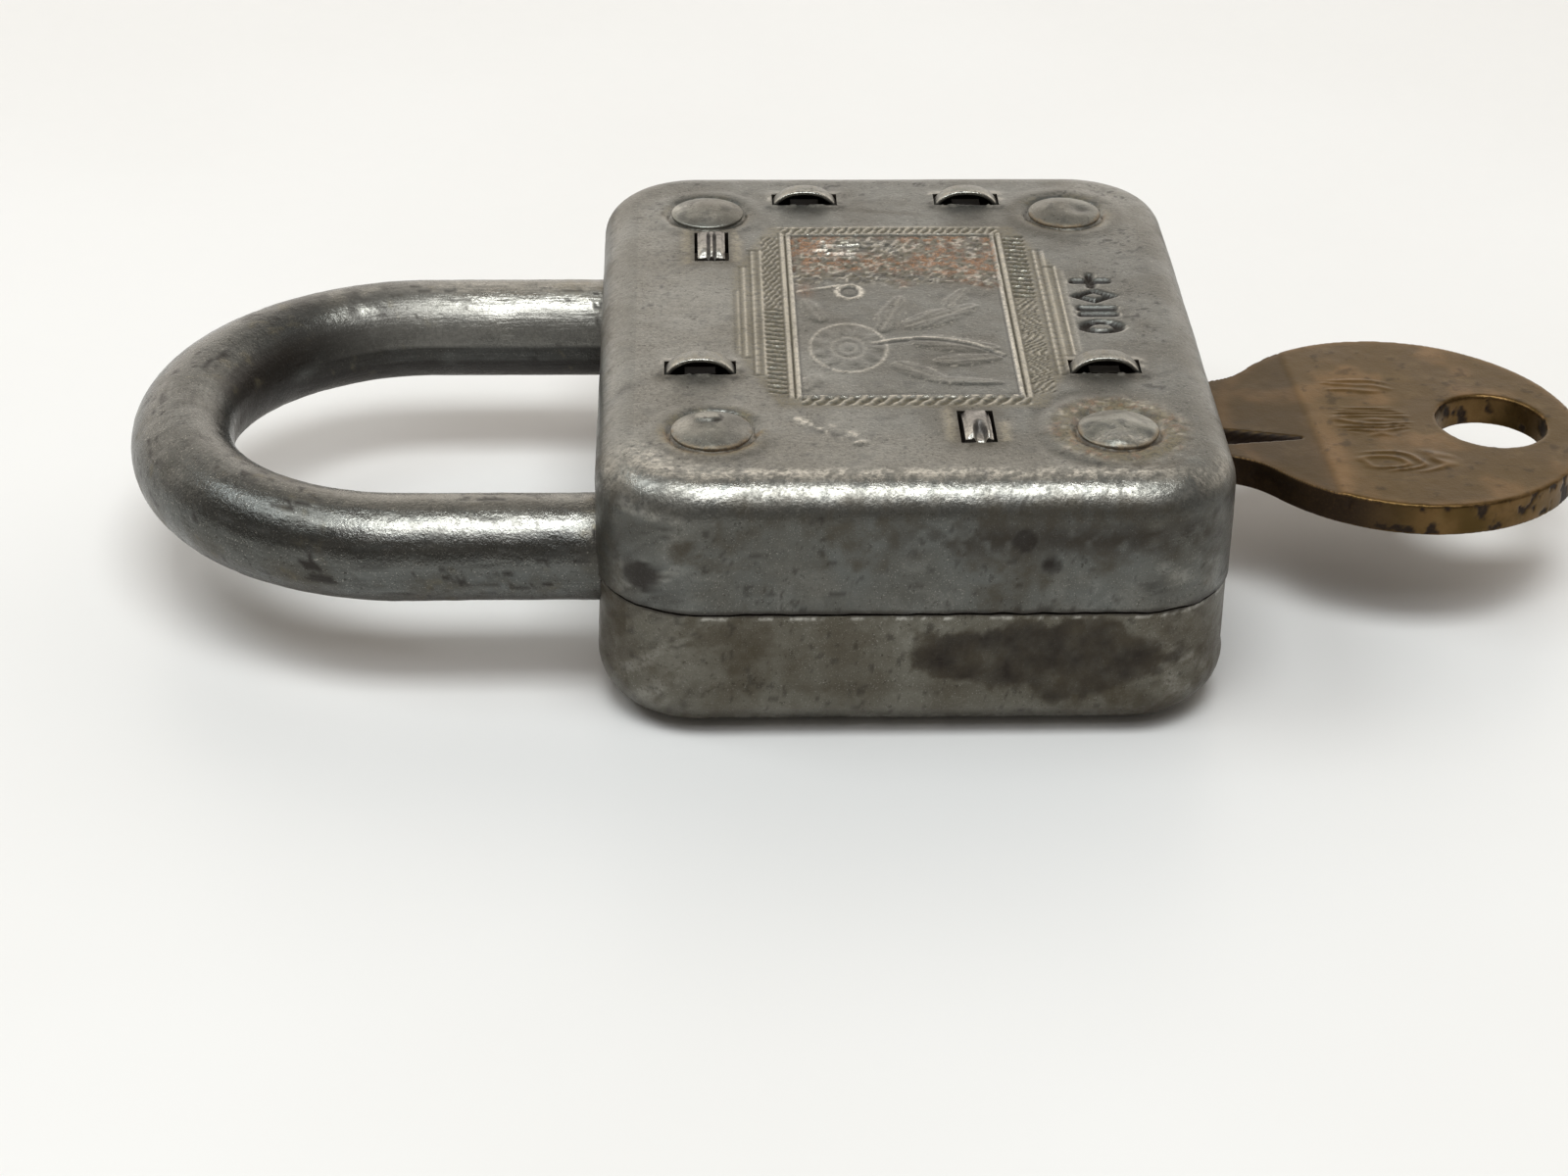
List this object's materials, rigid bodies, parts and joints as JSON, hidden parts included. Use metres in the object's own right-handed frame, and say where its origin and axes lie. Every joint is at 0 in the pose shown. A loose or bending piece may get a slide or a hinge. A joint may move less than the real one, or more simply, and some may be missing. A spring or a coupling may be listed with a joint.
{
  "type": "padlock",
  "caption": "Riveted sheet-steel padlock with an engraved front, a swinging round shackle and a flat brass key in its turning keyway plug.",
  "frame": {"origin": "centre of the case's flat back face, which the lock lies on", "axes": "+X along the key, away from the shackle; +Y towards the shackle's heel; +Z out of the decorated front face"},
  "size_m": [0.0891, 0.0446, 0.017],
  "materials": {
    "case_front": "worn nickel-plated pressed steel, engraved, with grime and rust stains",
    "case_back": "worn nickel-plated pressed steel, mottled, with brown stains on the near side",
    "shackle": "speckled worn plated steel bar",
    "rivet": "plated steel with rust-brown rings",
    "stake": "staked steel tab, chisel-marked",
    "inner_steel": "plain dull steel sheet",
    "spring_steel": "blued spring steel",
    "key": "tarnished olive-brown brass, pitted golden edges",
    "plug": "dull turned brass"
  },
  "bodies": {
    "case": {"back_shell": "case_back", "front_shell": "case_front", "rivet_heel": "rivet", "rivet_toe": "rivet", "rivet_key_far": "rivet", "rivet_key_near": "rivet", "heel_washer_front": "inner_steel", "heel_washer_back": "inner_steel", "sleeve_key_far": "inner_steel", "sleeve_key_near": "inner_steel", "plug_retainer": "inner_steel", "ward_plate_1": "inner_steel", "ward_plate_2": "inner_steel", "ward_plate_3": "inner_steel", "ward_carrier": "inner_steel", "face_strap_near": "inner_steel", "face_strap_far": "inner_steel", "lock_spring_anchor": "stake", "kick_spring_anchor": "stake", "lock_spring": "spring_steel", "kick_spring": "spring_steel"},
    "shackle": {"shackle": "shackle"},
    "plug": {"keyway_plug": "plug"},
    "key": {"key": "key"}
  },
  "joints": [
    {"name": "shackle_swing", "type": "hinge", "parent": "case", "child": "shackle", "pos_m": [-0.0115, 0.015, 0.00815], "axis": [0, 0, -1], "range_deg": [0, 55], "deforming": ["kick_spring", "lock_spring"]},
    {"name": "key_turn", "type": "hinge", "parent": "case", "child": "plug", "pos_m": [0.0166, 0, 0.00795], "axis": [1, 0, 0], "range_deg": [0, 90]},
    {"name": "key_slide", "type": "slide", "parent": "plug", "child": "key", "axis": [1, 0, 0], "range_m": [0, 0.026]}
  ]
}
